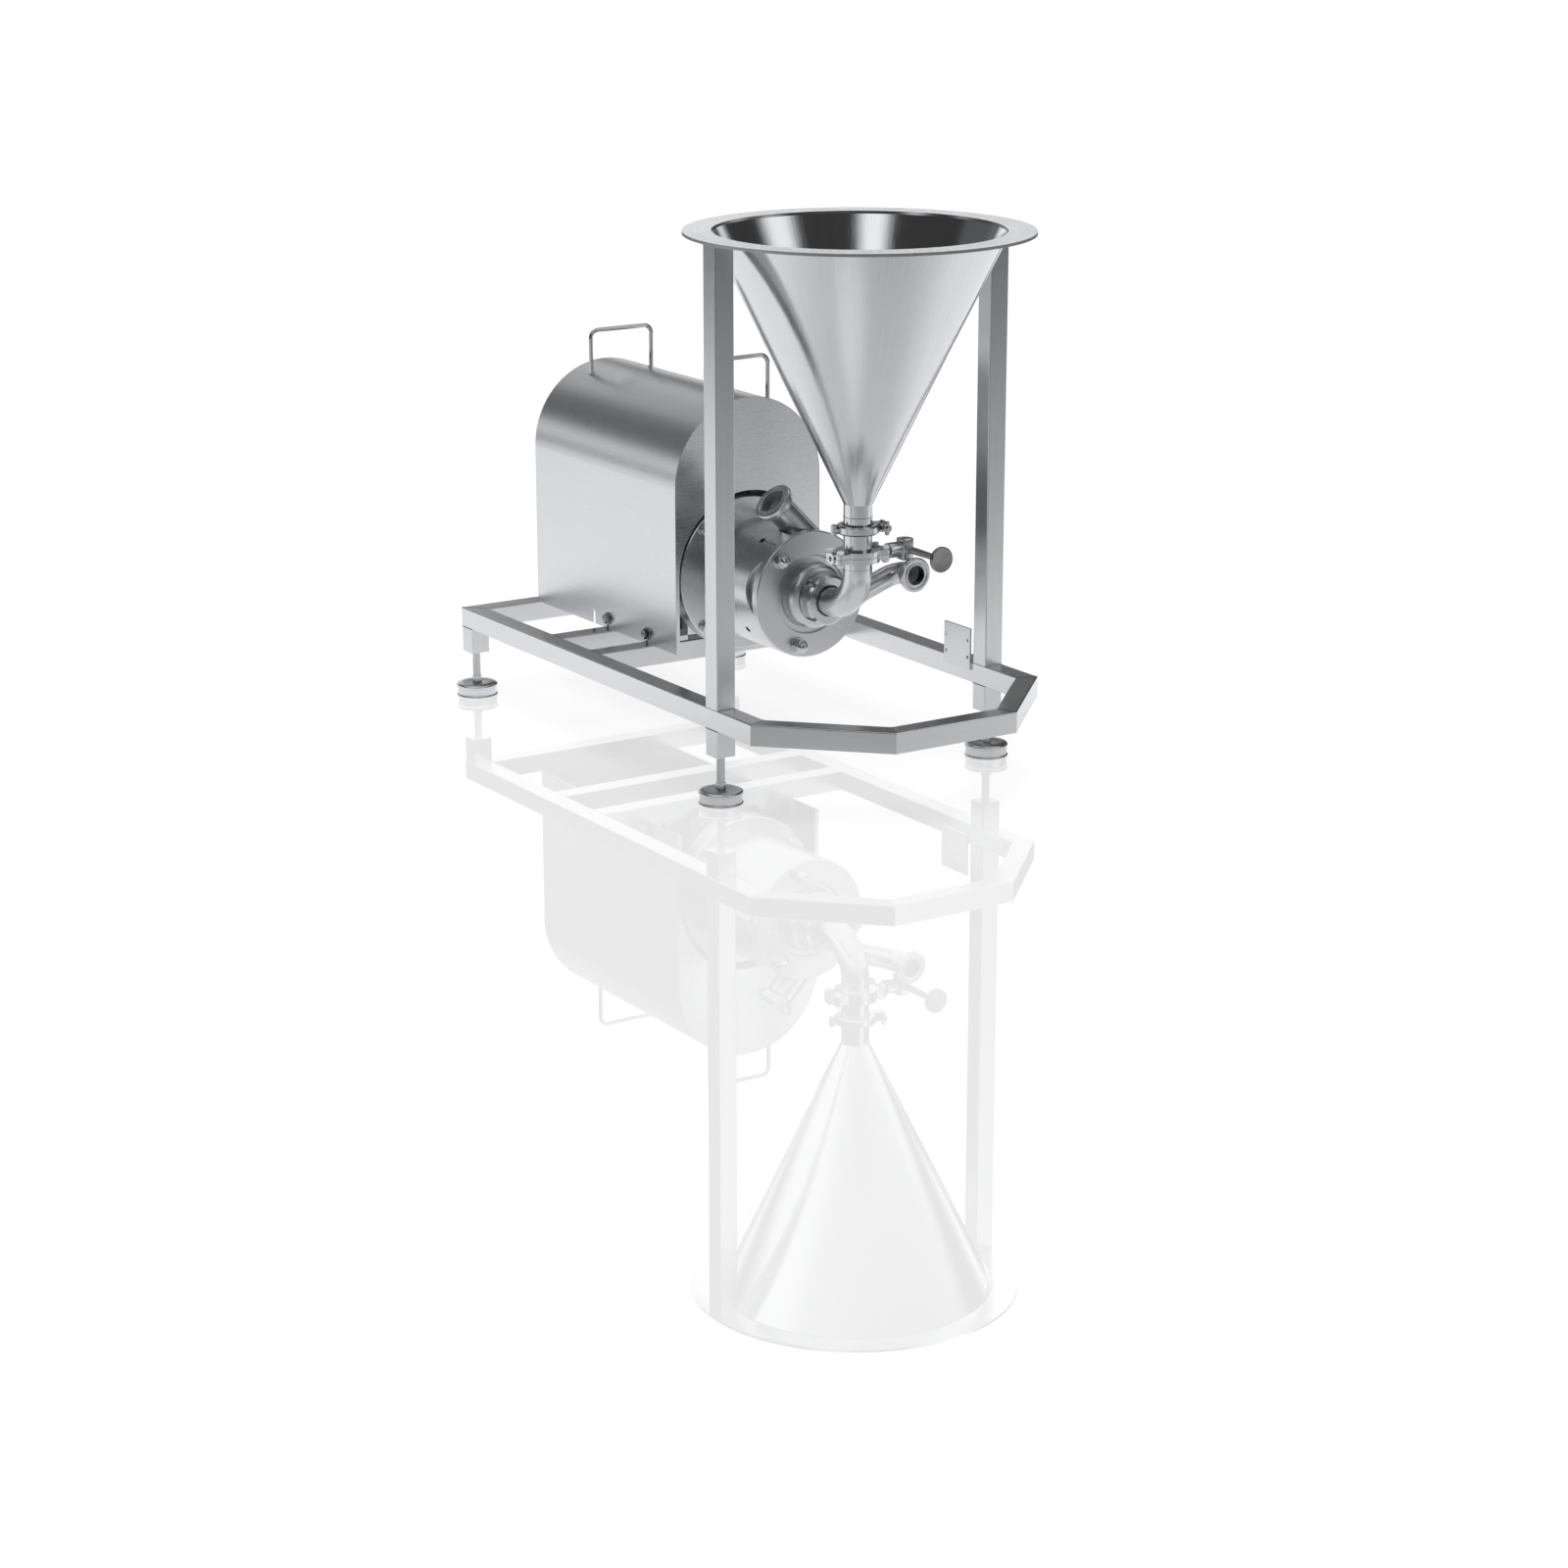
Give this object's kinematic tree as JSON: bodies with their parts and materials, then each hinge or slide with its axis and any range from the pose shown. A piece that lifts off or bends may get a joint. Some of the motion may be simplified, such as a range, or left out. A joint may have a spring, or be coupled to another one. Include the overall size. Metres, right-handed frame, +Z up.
{
  "type": "powder dissolver",
  "caption": "Frame-mounted powder dissolver: conical hopper and butterfly valve over a centrifugal pump with a liquid inlet and tangential outlet, its motor under a lift-off shroud.",
  "frame": {"origin": "on the floor, under the middle of the machine's box", "axes": "+Z up; the front with the hopper and the half-octagon nose faces -Y; +X is to the right of someone who faces the front"},
  "size_m": [0.683, 1.2964, 1.026],
  "materials": {
    "frame_steel": "satin brushed stainless steel",
    "foot_steel": "turned stainless steel",
    "hopper_steel": "polished stainless steel sheet",
    "rim_steel": "satin stainless steel sheet",
    "clamp_steel": "polished cast stainless steel",
    "pump_steel": "mirror-polished stainless steel",
    "inner_steel": "machined steel",
    "lever_steel": "dark satin stainless steel",
    "fastener_steel": "bright stainless steel",
    "black_steel": "black oxide",
    "shroud_steel": "fine brushed stainless steel sheet",
    "handle_steel": "polished stainless steel rod",
    "seal_rubber": "black food-grade rubber",
    "seal_ceramic": "seal faces",
    "motor_iron": "grey enamel",
    "fan_plastic": "black moulded plastic"
  },
  "bodies": {
    "machine": {"left_rail": "frame_steel", "nose_left_rail": "frame_steel", "nose_front_rail": "frame_steel", "nose_right_rail": "frame_steel", "right_rail": "frame_steel", "rear_rail": "frame_steel", "rear_crossbar": "frame_steel", "front_crossbar": "frame_steel", "leg_blocks": "frame_steel", "left_post": "frame_steel", "right_post": "frame_steel", "bracket_plate": "frame_steel", "hopper_cone": "hopper_steel", "hopper_rim": "rim_steel", "clamp_rear_half": "clamp_steel", "clamp_front_half": "clamp_steel", "clamp_pins": "clamp_steel", "valve_upper_body": "pump_steel", "valve_lower_body": "pump_steel", "suction_elbow": "pump_steel", "liquid_branch": "pump_steel", "liquid_inlet_end": "pump_steel", "suction_union_nut": "pump_steel", "pump_cover": "pump_steel", "pump_casing": "pump_steel", "outlet_end": "pump_steel", "pump_lantern": "pump_steel", "motor_bearings": "inner_steel", "valve_screws": "fastener_steel", "cover_nuts": "fastener_steel", "flange_bolts": "fastener_steel", "shroud_bolts": "fastener_steel", "motor_foot_bolts": "fastener_steel", "casing_set_screws": "black_steel", "shroud_brackets": "shroud_steel", "clamp_gasket": "seal_rubber", "valve_seal": "seal_rubber", "suction_seal": "seal_rubber", "cover_seal": "seal_rubber", "shaft_seal_seat": "seal_ceramic", "motor_flange": "motor_iron", "motor_housing": "motor_iron", "terminal_box": "motor_iron", "motor_fan_cover": "motor_iron"},
    "drive": {"motor_rotor": "inner_steel", "motor_fan": "fan_plastic", "pump_shaft": "inner_steel", "shaft_seal_ring": "seal_ceramic", "impeller": "inner_steel"},
    "valve": {"valve_disc": "inner_steel", "valve_lever": "lever_steel"},
    "shroud": {"motor_shroud": "shroud_steel", "shroud_front_panel": "shroud_steel", "shroud_handles": "handle_steel"},
    "swing_bolt": {"clamp_swing_bolt": "clamp_steel", "clamp_wing_nut": "clamp_steel"},
    "foot_front_left": {"foot_front_left": "foot_steel"},
    "foot_front_right": {"foot_front_right": "foot_steel"},
    "foot_rear_left": {"foot_rear_left": "foot_steel"},
    "foot_rear_right": {"foot_rear_right": "foot_steel"}
  },
  "joints": [
    {"name": "drive_spin", "type": "hinge", "parent": "machine", "child": "drive", "pos_m": [0, 0, 0.323], "axis": [0, -1, 0], "continuous": true},
    {"name": "valve_turn", "type": "hinge", "parent": "machine", "child": "valve", "pos_m": [0.1, -0.32825, 0.428], "axis": [-1, 0, 0], "range_deg": [0, 90]},
    {"name": "shroud_lift", "type": "slide", "parent": "machine", "child": "shroud", "axis": [0, 0, 1], "range_m": [0, 0.34]},
    {"name": "swing_bolt_turn", "type": "hinge", "parent": "machine", "child": "swing_bolt", "pos_m": [0.05149, -0.33193, 0.478], "axis": [0, 0, 1], "range_deg": [0, 90]},
    {"name": "foot_front_left_screw", "type": "slide", "parent": "machine", "child": "foot_front_left", "axis": [0, 0, 1], "range_m": [-0.015, 0.015]},
    {"name": "foot_front_right_screw", "type": "slide", "parent": "machine", "child": "foot_front_right", "axis": [0, 0, 1], "range_m": [-0.015, 0.015]},
    {"name": "foot_rear_left_screw", "type": "slide", "parent": "machine", "child": "foot_rear_left", "axis": [0, 0, 1], "range_m": [-0.015, 0.015]},
    {"name": "foot_rear_right_screw", "type": "slide", "parent": "machine", "child": "foot_rear_right", "axis": [0, 0, 1], "range_m": [-0.015, 0.015]}
  ]
}
